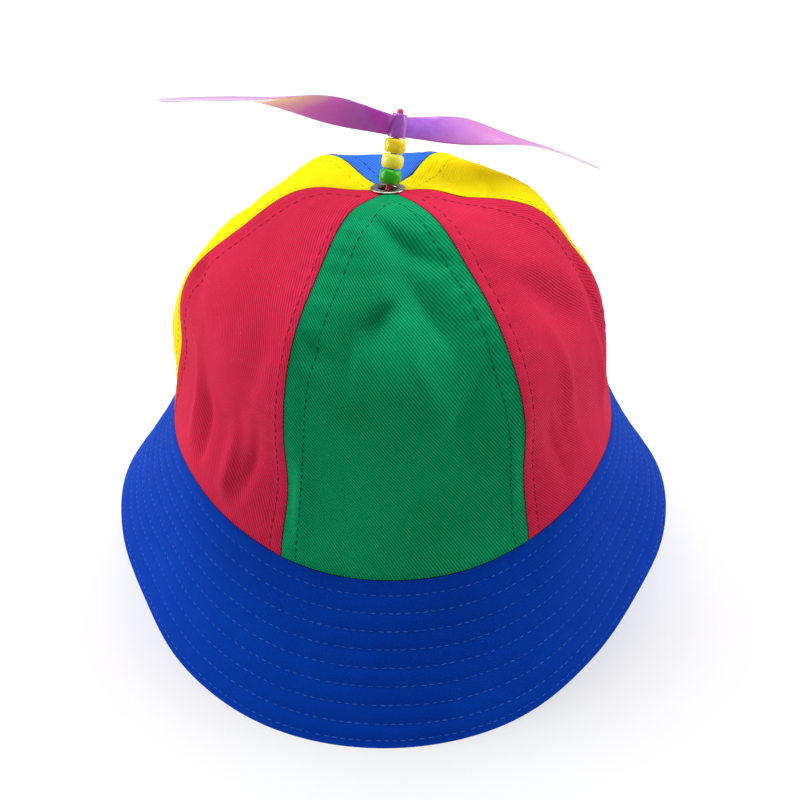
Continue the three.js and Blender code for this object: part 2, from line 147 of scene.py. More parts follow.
# diagonal ribs of a twill, with the yarns crossing them
twillWeave, into, outOf = newGroup(
    "twillWeave",
    [("Cloth", "Vector", None), ("Ribs", "Float", 31.4), ("Turn", "Float", 0.62),
     ("Unevenness", "Float", 0.7)],
    [("Height", "Float"), ("Rib", "Float")],
)
turnedCloth = put(twillWeave, "VectorRotate", {
    "Vector": into["Cloth"], "Angle": into["Turn"],
}, rotation_type="Z_AXIS")
ribs = put(twillWeave, "TexWave", {
    "Vector": turnedCloth.outputs[0], "Scale": into["Ribs"], "Distortion": into["Unevenness"],
    "Detail": 2.0, "Detail Scale": 0.6,
}, bands_direction="X")
yarns = put(twillWeave, "TexWave", {
    "Vector": turnedCloth.outputs[0], "Scale": maths(twillWeave, "MULTIPLY", into["Ribs"], 1.7),
    "Distortion": 1.5, "Detail": 2.0, "Detail Scale": 1.0,
}, bands_direction="Y")
yarnShare = maths(twillWeave, "MULTIPLY", yarns.outputs["Fac"], 0.3)
ribShare = maths(twillWeave, "MULTIPLY", ribs.outputs["Fac"], 0.7)
feed(twillWeave, outOf["Height"], maths(twillWeave, "ADD", yarnShare, ribShare))
feed(twillWeave, outOf["Rib"], ribs.outputs["Fac"])

# soft patches, fuzz and lint of worn cotton
cottonWear, into, outOf = newGroup(
    "cottonWear",
    [("Place", "Vector", None), ("Patch Scale", "Float", 28.0), ("Fuzz Scale", "Float", 1800.0),
     ("Lint", "Float", 0.5)],
    [("Patches", "Float"), ("Fuzz", "Float"), ("Lint", "Float")],
)
patches = put(cottonWear, "TexNoise", {
    "Vector": into["Place"], "Scale": into["Patch Scale"], "Detail": 4.0, "Roughness": 0.55,
})
fuzz = put(cottonWear, "TexNoise", {"Vector": into["Place"], "Scale": into["Fuzz Scale"], "Detail": 3.0})
fibres = put(cottonWear, "TexNoise", {
    "Vector": into["Place"], "Scale": maths(cottonWear, "MULTIPLY", into["Fuzz Scale"], 0.35),
    "Detail": 2.0, "Distortion": 2.5,
})
feed(cottonWear, outOf["Patches"], ramp(cottonWear, patches.outputs["Fac"], 0.3, 0.7))
feed(cottonWear, outOf["Fuzz"], fuzz.outputs["Fac"])
specks = ramp(cottonWear, fibres.outputs["Fac"], 0.66, 0.74)
feed(cottonWear, outOf["Lint"], maths(cottonWear, "MULTIPLY", specks, into["Lint"]))

# handling marks and the slight unevenness of moulded plastic and pressed metal
handledSkin, into, outOf = newGroup(
    "handledSkin",
    [("Place", "Vector", None), ("Mark Scale", "Float", 420.0), ("Low", "Float", 0.1),
     ("High", "Float", 0.3)],
    [("Roughness", "Float"), ("Height", "Float"), ("Tone", "Float")],
)
stretched = put(handledSkin, "VectorMath", {0: into["Place"], 1: (1.0, 1.0, 4.0)}, operation="MULTIPLY")
marks = put(handledSkin, "TexNoise", {
    "Vector": stretched.outputs[0], "Scale": into["Mark Scale"], "Detail": 5.0, "Roughness": 0.6,
})
swirls = put(handledSkin, "TexNoise", {
    "Vector": into["Place"], "Scale": 160.0, "Detail": 2.0, "Distortion": 1.0,
})
spread = maths(handledSkin, "SUBTRACT", into["High"], into["Low"])
worn = maths(handledSkin, "MULTIPLY", ramp(handledSkin, marks.outputs["Fac"], 0.4, 0.7), spread)
feed(handledSkin, outOf["Roughness"], maths(handledSkin, "ADD", worn, into["Low"]))
feed(handledSkin, outOf["Height"], marks.outputs["Fac"])
feed(handledSkin, outOf["Tone"], ramp(handledSkin, swirls.outputs["Fac"], 0.35, 0.65))


def newMaterial(name):
    material = bpy.data.materials.new(name)
    material.use_nodes = True
    tree = material.node_tree
    tree.nodes.clear()
    shader = put(tree, "BsdfPrincipled")
    surface = put(tree, "OutputMaterial")
    tree.links.new(shader.outputs["BSDF"], surface.inputs["Surface"])
    return material, tree, shader


twill = {
    "lint": 0.25,
    "blotches": 0.18,
    # strength of the painted shade that darkens the cloth along its seams
    "seamShade": 0.12,
    "valleyRoughness": 0.95,
    "ribRoughness": 0.78,
    "sheen": 0.006,
    "sheenRoughness": 0.45,
    "specular": 0.05,
    "fuzz": 0.6,
    "bump": 0.45,
    "bumpDepth": 0.25 * mm,
}


def addBump(tree, shader, height, strength, depth):
    bump = put(tree, "Bump", {"Height": height, "Strength": strength, "Distance": depth})
    tree.links.new(bump.outputs["Normal"], shader.inputs["Normal"])


# ribContrast sets how dark the painted shade in the valleys between the twill's ribs is
def twillMaterial(name, light, dark, lint, ribTurn=0.62, ribContrast=0.62):
    material, tree, shader = newMaterial(name)
    clothMap = put(tree, "UVMap", uv_map="cloth").outputs["UV"]
    place = put(tree, "TexCoord").outputs["Object"]
    weave = useGroup(tree, twillWeave, {"Cloth": clothMap, "Turn": ribTurn})
    wear = useGroup(tree, cottonWear, {"Place": place, "Lint": twill["lint"]})
    # the seam attribute is painted shade: the cloth is darkened along the seams and at a gore's ends,
    # where shade falls in the crease
    seam = put(tree, "Attribute", attribute_name="seam").outputs["Fac"]
    # the valleys between the twill's ribs are painted darker: painted shade; the blotches are the cloth's
    # own uneven tone
    paintedValleyShade = maths(tree, "MULTIPLY", maths(tree, "SUBTRACT", 1.0, weave["Rib"]), ribContrast)
    blotches = maths(tree, "MULTIPLY", wear["Patches"], twill["blotches"])
    paintedSeamShade = maths(tree, "MULTIPLY", seam, twill["seamShade"])
    shade = maths(tree, "ADD", maths(tree, "ADD", paintedValleyShade, blotches), paintedSeamShade, clamp=True)
    colour = mixColour(tree, shade, light, dark)
    colour = mixColour(tree, wear["Lint"], colour, lint)
    feed(tree, shader.inputs["Base Color"], colour)
    roughness = ramp(tree, weave["Rib"], 0.0, 1.0, twill["valleyRoughness"], twill["ribRoughness"])
    feed(tree, shader.inputs["Roughness"], roughness)
    shader.inputs["Sheen Weight"].default_value = twill["sheen"]
    shader.inputs["Sheen Roughness"].default_value = twill["sheenRoughness"]
    shader.inputs["Specular IOR Level"].default_value = twill["specular"]
    height = maths(tree, "ADD", weave["Height"], maths(tree, "MULTIPLY", wear["Fuzz"], twill["fuzz"]))
    addBump(tree, shader, height, twill["bump"], twill["bumpDepth"])
    return material


def threadMaterial(name, light, dark):
    material, tree, shader = newMaterial(name)
    place = put(tree, "TexCoord").outputs["Object"]
    wear = useGroup(tree, cottonWear, {
        "Place": place, "Patch Scale": 220.0, "Fuzz Scale": 2600.0, "Lint": 0.0,
    })
    feed(tree, shader.inputs["Base Color"], mixColour(tree, wear["Patches"], light, dark))
    feed(tree, shader.inputs["Roughness"], ramp(tree, wear["Fuzz"], 0.3, 0.7, 0.55, 0.8))
    shader.inputs["Specular IOR Level"].default_value = 0.15
    addBump(tree, shader, wear["Fuzz"], 0.5, 0.2 * mm)
    return material


def plasticMaterial(name, light, dark, inside):
    material, tree, shader = newMaterial(name)
    place = put(tree, "TexCoord").outputs["Object"]
    skin = useGroup(tree, handledSkin, {"Place": place, "Low": 0.1, "High": 0.25})
    feed(tree, shader.inputs["Base Color"], mixColour(tree, skin["Tone"], light, dark))
    feed(tree, shader.inputs["Roughness"], skin["Roughness"])
    shader.inputs["Subsurface Weight"].default_value = inside
    shader.inputs["Subsurface Radius"].default_value = (0.0015, 0.0015, 0.001)
    shader.inputs["Subsurface Scale"].default_value = 1.0
    shader.inputs["IOR"].default_value = 1.47
    addBump(tree, shader, skin["Height"], 0.12, 0.2 * mm)
    return material


greenTwill = twillMaterial("greenTwill", paint(10, 174, 112), paint(2, 98, 54), paint(60, 190, 140))
redTwill = twillMaterial("redTwill", paint(222, 46, 82), paint(168, 22, 48), paint(240, 110, 130))
yellowTwill = twillMaterial(
    "yellowTwill", paint(240, 224, 3), paint(208, 184, 0), paint(250, 240, 110), ribContrast=0.3,
)
rearBlueTwill = twillMaterial(
    "rearBlueTwill", paint(62, 128, 226), paint(28, 70, 190), paint(110, 160, 240),
)
brimBlueTwill = twillMaterial(
    "brimBlueTwill", paint(0, 62, 178), paint(0, 34, 122), paint(40, 100, 205),
    ribTurn=0.7, ribContrast=0.14,
)
# the crown's thread colours are darker than their cloth: painted shade in the stitch holes
greenThread = threadMaterial("greenThread", paint(5, 104, 64), paint(2, 72, 44))
redThread = threadMaterial("redThread", paint(168, 26, 50), paint(120, 12, 32))
yellowThread = threadMaterial("yellowThread", paint(218, 198, 3), paint(196, 172, 0))
rearBlueThread = threadMaterial("rearBlueThread", paint(24, 66, 180), paint(14, 42, 140))
brimBlueThread = threadMaterial("brimBlueThread", paint(48, 106, 212), paint(22, 78, 190))
stemPlastic = plasticMaterial("stemPlastic", paint(224, 64, 118), paint(190, 34, 76), inside=0.1)
greenBead = plasticMaterial("greenBead", paint(60, 206, 8), paint(40, 176, 4), inside=0.15)
paleBead = plasticMaterial("paleBead", paint(255, 252, 96), paint(252, 244, 60), inside=0.2)
amberBead = plasticMaterial("amberBead", paint(255, 236, 44), paint(255, 216, 20), inside=0.2)
print("materials made")


# pieces
def addPiece(name, mesh, body, material, stoodFor=None):
    mesh.materials.clear()
    mesh.materials.append(material)
    piece = bpy.data.objects.new(name, mesh)
    bpy.context.scene.collection.objects.link(piece)
    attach(piece, body)
    if stoodFor:
        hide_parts(stoodFor)


def meshOf(bm, name, sharpAngle=40):
    mesh = bpy.data.meshes.new(name)
    bm.to_mesh(mesh)
    bm.free()
    mesh.polygons.foreach_set("use_smooth", [True] * len(mesh.polygons))
    mesh.set_sharp_from_angle(angle=math.radians(sharpAngle))
    return mesh


def quadCopy(node):
    # a merged copy of a CAD cloth node, its triangles joined to four-sided faces
    bm = bmesh.new()
    bm.from_mesh(nodes[node].data)
    bmesh.ops.remove_doubles(bm, verts=bm.verts, dist=10 * mergeDistance)

    def longest(face):
        return max(face.edges, key=lambda edge: edge.calc_length())

    diagonals = [
        edge for edge in bm.edges
        if len(edge.link_faces) == 2 and all(longest(face) == edge for face in edge.link_faces)
    ]
    bmesh.ops.dissolve_edges(bm, edges=diagonals, use_verts=False)
    bmesh.ops.join_triangles(
        bm, faces=[face for face in bm.faces if len(face.verts) == 3],
        angle_face_threshold=math.radians(40), angle_shape_threshold=math.radians(60),
    )
    return bm


def roundedMesh(bm, name, levels):
    # subdivides the cage smoothly, and keeps the cut edges of the cloth where they are
    crease = bm.edges.layers.float.new("crease_edge")
    for edge in bm.edges:
        if len(edge.link_faces) == 2 and edge.calc_face_angle() > cutAngle:
            edge[crease] = 1.0
    cage = bpy.data.objects.new(name + "_cage", meshOf(bm, name + "_cage"))
    bpy.context.scene.collection.objects.link(cage)
    smoother = cage.modifiers.new("smooth", "SUBSURF")
    smoother.levels = levels
    smoother.render_levels = levels
    depsgraph = bpy.context.evaluated_depsgraph_get()
    mesh = bpy.data.meshes.new_from_object(cage.evaluated_get(depsgraph))
    mesh.name = name
    cageMesh = cage.data
    bpy.data.objects.remove(cage)
    bpy.data.meshes.remove(cageMesh)
    return mesh


def placesOf(mesh):
    places = np.empty(len(mesh.vertices) * 3)
    mesh.vertices.foreach_get("co", places)
    return places.reshape(-1, 3)


def normalsOf(mesh):
    normals = np.empty(len(mesh.vertices) * 3)
    mesh.vertex_normals.foreach_get("vector", normals)
    return normals.reshape(-1, 3)


def setPlaces(mesh, places):
    mesh.vertices.foreach_set("co", places.astype(np.float32).ravel())
    mesh.update()


def setClothMap(mesh, across, down):
    # one unit of the cloth map is 100 mm of cloth
    corners = np.empty(len(mesh.loops), dtype=np.int32)
    mesh.loops.foreach_get("vertex_index", corners)
    layer = mesh.uv_layers.new(name="cloth")
    uvs = np.stack((across[corners], down[corners]), axis=1) * 10
    layer.data.foreach_set("uv", uvs.astype(np.float32).ravel())


# stores where the material paints shade along the seams and ends of a cloth piece
def setPaintedSeamShade(mesh, values):
    layer = mesh.attributes.new("seam", "FLOAT", "POINT")
    layer.data.foreach_set("value", np.clip(values, 0, 1).astype(np.float32))


def edgeTrees(mesh, isSide):
    # search trees of the points on a cloth piece's side edges and on its end edges
    bm = bmesh.new()
    bm.from_mesh(mesh)
    sides, ends = set(), set()
    for edge in bm.edges:
        if edge.calc_face_angle(0) > cutAngle:
            (sides if isSide(edge) else ends).update(vert.co.copy().freeze() for vert in edge.verts)
    bm.free()
    trees = []
    for points in (sides, ends):
        tree = KDTree(len(points))
        for index, point in enumerate(sorted(points, key=tuple)):
            tree.insert(point, index)
        tree.balance()
        trees.append(tree)
    return trees


def distances(tree, places):
    return np.array([tree.find(place)[2] for place in places])


def faceTree(mesh):
    return BVHTree.FromPolygons(
        [vert.co.copy() for vert in mesh.vertices], [tuple(face.vertices) for face in mesh.polygons],
    )


def softNoise(places, size, seed):
    shift = Vector((seed * 7.31, seed * 3.17, seed * 5.53))
    return np.array([noise.noise(Vector(place) / size + shift) for place in places])


def smooth(value, low, high):
    share = np.clip((value - low) / (high - low), 0, 1)
    return share * share * (3 - 2 * share)


def nearness(distance, width):
    # 1 at no distance, and soon 0 past the width
    return np.exp(-((distance / width) ** 2))


def foldField(across, down, folds):
    # each fold has its own flank on either side of its line; sizes in mm, turn in degrees
    rise = np.zeros(len(across))
    for fold in folds:
        turn = math.radians(fold["turn"])
        sideways, downwards = across / mm - fold["across"], down / mm - fold["down"]
        along = sideways * math.cos(turn) + downwards * math.sin(turn)
        beside = downwards * math.cos(turn) - sideways * math.sin(turn)
        width = np.where(beside < 0, fold["before"], fold["after"])
        rise += fold["rise"] * mm * np.exp(-((beside / width) ** 2) - (along / fold["length"]) ** 2)
    return rise


# the crown: six gores sewn together, over a ball that the cloth coordinates are measured on
crown = {
    "ballHeight": 0.065,
    "ballRadius": 0.097,
    "levels": 3,
    "seamTuck": 0.3 * mm,  # how deep the cloth turns in at a seam
    "seamTuckWidth": 1.1 * mm,
    "closing": 0.16 * mm,  # how far a gore's edge moves over to meet its neighbour's
    "baseClosing": 0.45 * mm,  # and how far its base moves down to meet the brim
    "stitchLine": 5.5 * mm,  # from the seam to its row of stitches
    "allowance": 0.22 * mm,  # how much the turned-in edge lifts the cloth beside the seam
    "allowanceFade": 1.5 * mm,
    "stitchGroove": 0.3 * mm,
    "grooveWidth": 1 * mm,
    "pucker": 0.28 * mm,
    "puckerPitch": 7.5 * mm,
    "puckerStart": 3 * mm,  # from the seam, where the puckers have their full height
    "puckerReach": 9 * mm,  # and where they die out again
    "puckerDrift": 4,  # how unevenly they follow each other
    "foldDepth": 2.3,
    "foldFade": (2 * mm, 14 * mm),  # from a gore's ends, where its folds begin and are full
    "sideFade": 5 * mm,  # the folds and ripples sink to nothing from here to the seam
    "endFade": 6 * mm,  # and from here to a gore's ends
    "stitchFade": 4 * mm,
    "ripple": 0.6 * mm,
    "rippleSize": 22 * mm,
    "smallRipple": 0.4,  # share of the ripple that has a third of its size
    "endTuck": 0.25 * mm,
    "endTuckWidth": 1.2 * mm,
    "closingWidth": 0.8 * mm,
    # widths of the painted shade along the seams and at a gore's ends, at the top and where the crown
    # meets the brim
    "seamShade": 1.6 * mm,
    "endShade": 2 * mm,
}
gores = {
    "front_panel": {
        "middle": 3.4, "cloth": greenTwill, "thread": greenThread, "slot": "green_twill", "seed": 1,
        "folds": [
            {"across": 4, "down": 35, "turn": 38, "length": 13, "before": 2.6, "after": 6, "rise": -1.5},
            {"across": 11, "down": 61, "turn": 62, "length": 15, "before": 6, "after": 2.6, "rise": -1.5},
            {"across": -9, "down": 62, "turn": 145, "length": 9, "before": 7, "after": 2.4, "rise": -1.5},
            {"across": -21, "down": 78, "turn": 97, "length": 13, "before": 3, "after": 7, "rise": -1.2},
            {"across": -1, "down": 66, "turn": 70, "length": 20, "before": 6, "after": 5, "rise": 1.0},
            {"across": 6, "down": 86, "turn": 55, "length": 12, "before": 6, "after": 4, "rise": 1.0},
            {"across": 24, "down": 96, "turn": 120, "length": 18, "before": 8, "after": 3, "rise": -1.2},
            {"across": -34, "down": 76, "turn": 20, "length": 9, "before": 2.6, "after": 6, "rise": -1.0},
            {"across": -40, "down": 140, "turn": 95, "length": 20, "before": 4, "after": 3, "rise": 0.9},
            {"across": 42, "down": 130, "turn": 84, "length": 16, "before": 5, "after": 5, "rise": 0.6},
        ],
    },
    "right_front_panel": {
        "middle": 63.4, "cloth": redTwill, "thread": redThread, "slot": "red_twill", "seed": 2,
        "folds": [
            {"across": 34, "down": 100, "turn": 100, "length": 22, "before": 4, "after": 8, "rise": -1.3},
            {"across": -10, "down": 110, "turn": 88, "length": 28, "before": 4, "after": 5, "rise": 0.8},
            {"across": 0, "down": 76, "turn": 48, "length": 26, "before": 7, "after": 14, "rise": -1.6},
            {"across": 22, "down": 128, "turn": 100, "length": 20, "before": 5, "after": 4, "rise": 0.7},
            {"across": -24, "down": 132, "turn": 84, "length": 18, "before": 3, "after": 5, "rise": -0.7},
        ],
    },
    "right_rear_panel": {
        "middle": 123.4, "cloth": yellowTwill, "thread": yellowThread, "slot": "yellow_twill", "seed": 3,
        "folds": [
            {"across": 6, "down": 32, "turn": 10, "length": 6, "before": 3, "after": 6, "rise": -0.8},
            {"across": -12, "down": 42, "turn": 20, "length": 12, "before": 3, "after": 7, "rise": -0.9},
            {"across": 10, "down": 110, "turn": 70, "length": 24, "before": 6, "after": 9, "rise": -0.8},
        ],
    },
    "rear_panel": {
        "middle": 183.4, "cloth": rearBlueTwill, "thread": rearBlueThread,
        "slot": "rear_blue_twill", "seed": 4,
        "folds": [
            {"across": -14, "down": 84, "turn": 64, "length": 26, "before": 5, "after": 9, "rise": -1.0},
            {"across": 16, "down": 112, "turn": 112, "length": 24, "before": 8, "after": 5, "rise": -0.9},
            {"across": 2, "down": 140, "turn": 86, "length": 18, "before": 5, "after": 5, "rise": 0.6},
        ],
    },
    "left_rear_panel": {
        "middle": -116.6, "cloth": yellowTwill, "thread": yellowThread, "slot": "yellow_twill", "seed": 5,
        "folds": [
            {"across": -8, "down": 92, "turn": 110, "length": 24, "before": 5, "after": 8, "rise": -0.8},
            {"across": 14, "down": 60, "turn": 35, "length": 14, "before": 4, "after": 8, "rise": -0.6},
        ],
    },
    "left_front_panel": {
        "middle": -56.6, "cloth": redTwill, "thread": redThread, "slot": "red_twill", "seed": 6,
        "folds": [
            {"across": -14, "down": 130, "turn": 84, "length": 20, "before": 4, "after": 4, "rise": 1.1},
            {"across": -4, "down": 140, "turn": 80, "length": 18, "before": 3, "after": 3, "rise": -1.2},
            {"across": 16, "down": 142, "turn": 84, "length": 20, "before": 3, "after": 4, "rise": 1.1},
            {"across": 26, "down": 134, "turn": 96, "length": 18, "before": 3, "after": 3, "rise": -0.9},
            {"across": -34, "down": 84, "turn": 30, "length": 16, "before": 4, "after": 9, "rise": -0.9},
            {"across": 22, "down": 96, "turn": 100, "length": 24, "before": 6, "after": 8, "rise": -0.7},
        ],
    },
}
ballMiddle = np.array([0, 0, crown["ballHeight"]])


def crownCoords(places, middle):
    # distance across from the middle of a gore, and down from the top of the crown, along the cloth
    x, y, z = places.T
    reach = np.hypot(x, y)
    turn = (np.arctan2(x, -y) - middle + np.pi) % (2 * np.pi) - np.pi
    return turn * reach, crown["ballRadius"] * np.arctan2(reach, z - crown["ballHeight"])


def runsDown(edge):
    # true for an edge that runs down a seam, whose azimuth hardly changes
    first, second = (vert.co for vert in edge.verts)
    turn = math.atan2(first.x, -first.y) - math.atan2(second.x, -second.y)
    turn = (turn + math.pi) % (2 * math.pi) - math.pi
    return abs(turn) * math.hypot(first.x, first.y) < 0.5 * edge.calc_length()


def goreMesh(name, gore):
    mesh = roundedMesh(quadCopy(name), name + "_cloth", crown["levels"])
    places, normals = placesOf(mesh), normalsOf(mesh)
    across, down = crownCoords(places, math.radians(gore["middle"]))
    outwards = places - ballMiddle
    outwards /= np.linalg.norm(outwards, axis=1)[:, None]
    sideTree, endTree = edgeTrees(mesh, runsDown)
    toSide, toEnd = distances(sideTree, places), distances(endTree, places)

    beside = nearness(toSide, crown["puckerReach"]) * smooth(toSide, 0, crown["puckerStart"])
    drift = crown["puckerDrift"] * softNoise(places, 30 * mm, gore["seed"])
    waves = np.sin(2 * np.pi * down / crown["puckerPitch"] + drift)
    rise = crown["foldDepth"] * foldField(across, down, gore["folds"])
    rise *= smooth(toEnd, *crown["foldFade"])
    rise += crown["ripple"] * softNoise(places, crown["rippleSize"], gore["seed"] + 10)
    smallRipple = softNoise(places, crown["rippleSize"] / 3, gore["seed"] + 20)
    rise += crown["smallRipple"] * crown["ripple"] * smallRipple
    rise += crown["pucker"] * waves * beside
    rise *= smooth(toEnd, 0, crown["endFade"]) * smooth(toSide, 0, crown["sideFade"])
    pastStitches = smooth(toSide, crown["stitchLine"], crown["stitchLine"] + crown["allowanceFade"])
    rise += crown["allowance"] * (1 - pastStitches)
    rise -= crown["stitchGroove"] * nearness(toSide - crown["stitchLine"], crown["grooveWidth"])
    rise *= smooth(toEnd, 0, crown["stitchFade"])
    tuck = crown["seamTuck"] * nearness(toSide, crown["seamTuckWidth"])
    tuck = np.maximum(tuck, crown["endTuck"] * nearness(toEnd, crown["endTuckWidth"]))
    aside = np.stack((-places[:, 1], places[:, 0], np.zeros(len(places))), axis=1)
    aside *= (np.sign(across) * crown["closing"] / np.linalg.norm(aside, axis=1))[:, None]
    aside *= nearness(toSide, crown["closingWidth"])[:, None]
    atBase = nearness(toEnd, crown["closingWidth"]) * (down > crown["ballRadius"])
    aside[:, 2] -= crown["baseClosing"] * atBase
    setPlaces(mesh, places + outwards * rise[:, None] - normals * tuck[:, None] + aside)
    setClothMap(mesh, across, down)
    # painted shade along the seams, at the top and at the base, where the crown meets the brim
    shade = np.maximum(nearness(toSide, crown["seamShade"]), nearness(toEnd, crown["endShade"]))
    setPaintedSeamShade(mesh, shade)
    mesh.polygons.foreach_set("use_smooth", [True] * len(mesh.polygons))
    return mesh


# stitches: short rounded lengths of thread, half sunk in the cloth
threadShape = {
    "lean": 0.12,  # how far a stitch may turn out of its row
    "uneven": 0.1,  # how far its breadth may differ
    "height": 0.45,  # of the thread's thickness, from its middle to its top
    "stand": 0.12,  # of the thickness, above the cloth
    "smoothBelow": 80,  # degrees between its faces
}
stitchBall = bmesh.new()
bmesh.ops.create_uvsphere(
    stitchBall, u_segments=6, v_segments=5, radius=1, matrix=Matrix.Rotation(math.pi / 2, 4, "Y"),
)
stitchMesh = meshOf(stitchBall, "stitch", threadShape["smoothBelow"])


def sewRow(bm, points, length, thickness, chance):
    for first, second in zip(points[:-1:2], points[1::2]):
        if first is None or second is None:
            continue
        middle = (first[0] + second[0]) / 2
        along = (second[0] - first[0]).normalized()
        up = (first[1] + second[1]).normalized()
        side = up.cross(along).normalized()
        up = along.cross(side)
        lean = chance.uniform(-threadShape["lean"], threadShape["lean"])
        along = (along + side * lean).normalized()
        side = up.cross(along)
        turned = Matrix((along, side, up)).transposed().to_4x4()
        breadth = thickness / 2 * chance.uniform(1 - threadShape["uneven"], 1 + threadShape["uneven"])
        size = Matrix.Diagonal((length / 2, breadth, thickness * threadShape["height"], 1))
        stand = Matrix.Translation(middle + up * thickness * threadShape["stand"])
        stitch = stitchMesh.copy()
        stitch.transform(stand @ turned @ size)
        bm.from_mesh(stitch)
        bpy.data.meshes.remove(stitch)


crownStitch = {
    "pitch": 3.1 * mm,
    "length": 2.3 * mm,
    "thickness": 0.42 * mm,
    "start": 13 * mm,  # measured down from the top of the crown
    "end": 166 * mm,
    "uneven": 0.04,  # how far the pitch may differ
    "castFrom": 150 * mm,  # from the ball's middle, to find the cloth
    "castReach": 120 * mm,
}


def onCrown(tree, azimuth, down):
    # the place on the outer face of a gore, and its normal
    polar = down / crown["ballRadius"]
    flat = math.sin(polar)
    ray = Vector((flat * math.sin(azimuth), -flat * math.cos(azimuth), math.cos(polar)))
    start = Vector(ballMiddle) + ray * crownStitch["castFrom"]
    hit, normal, _, _ = tree.ray_cast(start, -ray, crownStitch["castReach"])
    return (hit, normal) if hit else None


def sewGore(mesh, gore):
    tree = faceTree(mesh)
    bm = bmesh.new()
    chance = random.Random(gore["seed"])
    goreMiddle, uneven = math.radians(gore["middle"]), crownStitch["uneven"]
    for side in (-1, 1):
        points = []
        down = crownStitch["start"]
        while down < crownStitch["end"]:
            for part in (0, crownStitch["length"]):
                azimuth = goreMiddle + side * math.radians(25)
                for _ in range(3):  # each turn comes nearer to the right distance from the seam
                    place = onCrown(tree, azimuth, down + part)
                    if place is None:
                        break
                    reach = math.hypot(place[0].x, place[0].y)
                    azimuth = goreMiddle + side * (math.pi / 6 - crown["stitchLine"] / reach)
                points.append(place)
            down += crownStitch["pitch"] * chance.uniform(1 - uneven, 1 + uneven)
        sewRow(bm, points, crownStitch["length"], crownStitch["thickness"], chance)
    return bm


for goreName, gore in gores.items():
    cloth = goreMesh(goreName, gore)
    addPiece(goreName + "_cloth", cloth, "hat", gore["cloth"], goreName)
    stitches = meshOf(sewGore(cloth, gore), goreName + "_stitches", threadShape["smoothBelow"])
    addPiece(goreName + "_stitches", stitches, "hat", gore["thread"])
print("crown sewn")

# the brim: quilted by rows of stitches that run round it
brim = {
    "levels": 3,
    "rows": 8,
    "firstRow": 6 * mm,  # from the crown's seam
    "rowPitch": 6.9 * mm,
    "edgeRow": 2.6 * mm,  # from the rim
    "groove": 0.32 * mm,
    "grooveWidth": 0.9 * mm,
    "rowFade": (3 * mm, 6 * mm),  # from the rim, where a row's groove begins and is full
    "puff": 0.14 * mm,
    "ripple": 0.8 * mm,
    "rippleSize": 45 * mm,
    "rippleFromRim": (2 * mm, 16 * mm),
    "rippleFromSeam": (0, 8 * mm),
    "unevenness": 0.18 * mm,
    "unevenSize": 7 * mm,
    "quiltFromSeam": (-1 * mm, 3 * mm),
    "quiltFromRim": (-0.5 * mm, 2 * mm),
    "rimTuck": 0.45 * mm,
    "rimTuckWidth": 1.1 * mm,
    "seamTuck": 0.2 * mm,
    "seamTuckWidth": 1 * mm,
    # width of the painted shade where the brim meets the crown
    "seamShade": 2.5 * mm,
    "rowEnd": 5 * mm,  # a row stops where the rim is nearer than this
    "castFrom": 8 * mm,  # outside the cloth, to find its face
    "castReach": 20 * mm,
    "usualReach": 120 * mm,  # from the hat's middle, where a row has stopped
    "pitch": 3.3 * mm,
    "length": 2.2 * mm,
    "thickness": 0.42 * mm,
    "slope": 60,  # degrees, for the direction that the cloth swells in
    "coneShare": 0.5,  # how the ring opens when its cloth is laid flat
}


def ringOf(points, columns):
    # the outermost point at each step of azimuth
    ring = [None] * columns
    for point in points:
        index = round((math.atan2(point.x, -point.y) / (2 * math.pi) + 0.5) * columns) % columns
        if ring[index] is None or math.hypot(point.x, point.y) > math.hypot(ring[index].x, ring[index].y):
            ring[index] = point
    return np.array(ring)


def atRing(ring, azimuth):
    place = (azimuth / (2 * np.pi) + 0.5) * len(ring)
    first = np.floor(place).astype(int)
    share = (place - first)[:, None]
    return ring[first % len(ring)] * (1 - share) + ring[(first + 1) % len(ring)] * share


def brimMesh():
    mesh = roundedMesh(quadCopy("brim"), "brim_cloth", brim["levels"])
    bm = bmesh.new()
    bm.from_mesh(mesh)
    sharp = [edge for edge in bm.edges if edge.calc_face_angle(0) > cutAngle]
    columns = len(sharp) // 4
    points = {vert.co.copy().freeze() for edge in sharp for vert in edge.verts}
    seamRing = ringOf([point for point in points if point.z > 20 * mm], columns)
    rimRing = ringOf([point for point in points if point.z < 1 * mm], columns)
    # finer faces on the side that shows, for the quilting
    radial = [
        edge for edge in bm.edges
        if edge.calc_face_angle(0) < cutAngle and runsDown(edge)
        and all(face.normal.z > 0.1 for face in edge.link_faces)
    ]
    bmesh.ops.subdivide_edges(bm, edges=radial, cuts=1, use_grid_fill=False)
    bm.to_mesh(mesh)
    bm.free()
    return mesh, seamRing, rimRing


brimCloth, seamRing, rimRing = brimMesh()
places, normals = placesOf(brimCloth), normalsOf(brimCloth)
azimuth = np.arctan2(places[:, 0], -places[:, 1])
seamPlace, rimPlace = atRing(seamRing, azimuth), atRing(rimRing, azimuth)
width = np.linalg.norm(rimPlace - seamPlace, axis=1)
fromSeam = np.einsum("ij,ij->i", places - seamPlace, rimPlace - seamPlace) / width
fromRim = width - fromSeam
rows = [brim["firstRow"] + k * brim["rowPitch"] for k in range(brim["rows"])]
quilt = np.zeros(len(places))
for row in rows:
    runsOut = smooth(width - row, *brim["rowFade"])
    quilt -= brim["groove"] * nearness(fromSeam - row, brim["grooveWidth"]) * runsOut
quilt -= brim["groove"] * nearness(fromRim - brim["edgeRow"], brim["grooveWidth"])
quilt += brim["puff"] * np.sin(np.pi * (fromSeam - brim["firstRow"]) / brim["rowPitch"]) ** 2
ripple = brim["ripple"] * softNoise(places, brim["rippleSize"], 31)
quilt += ripple * smooth(fromRim, *brim["rippleFromRim"]) * smooth(fromSeam, *brim["rippleFromSeam"])
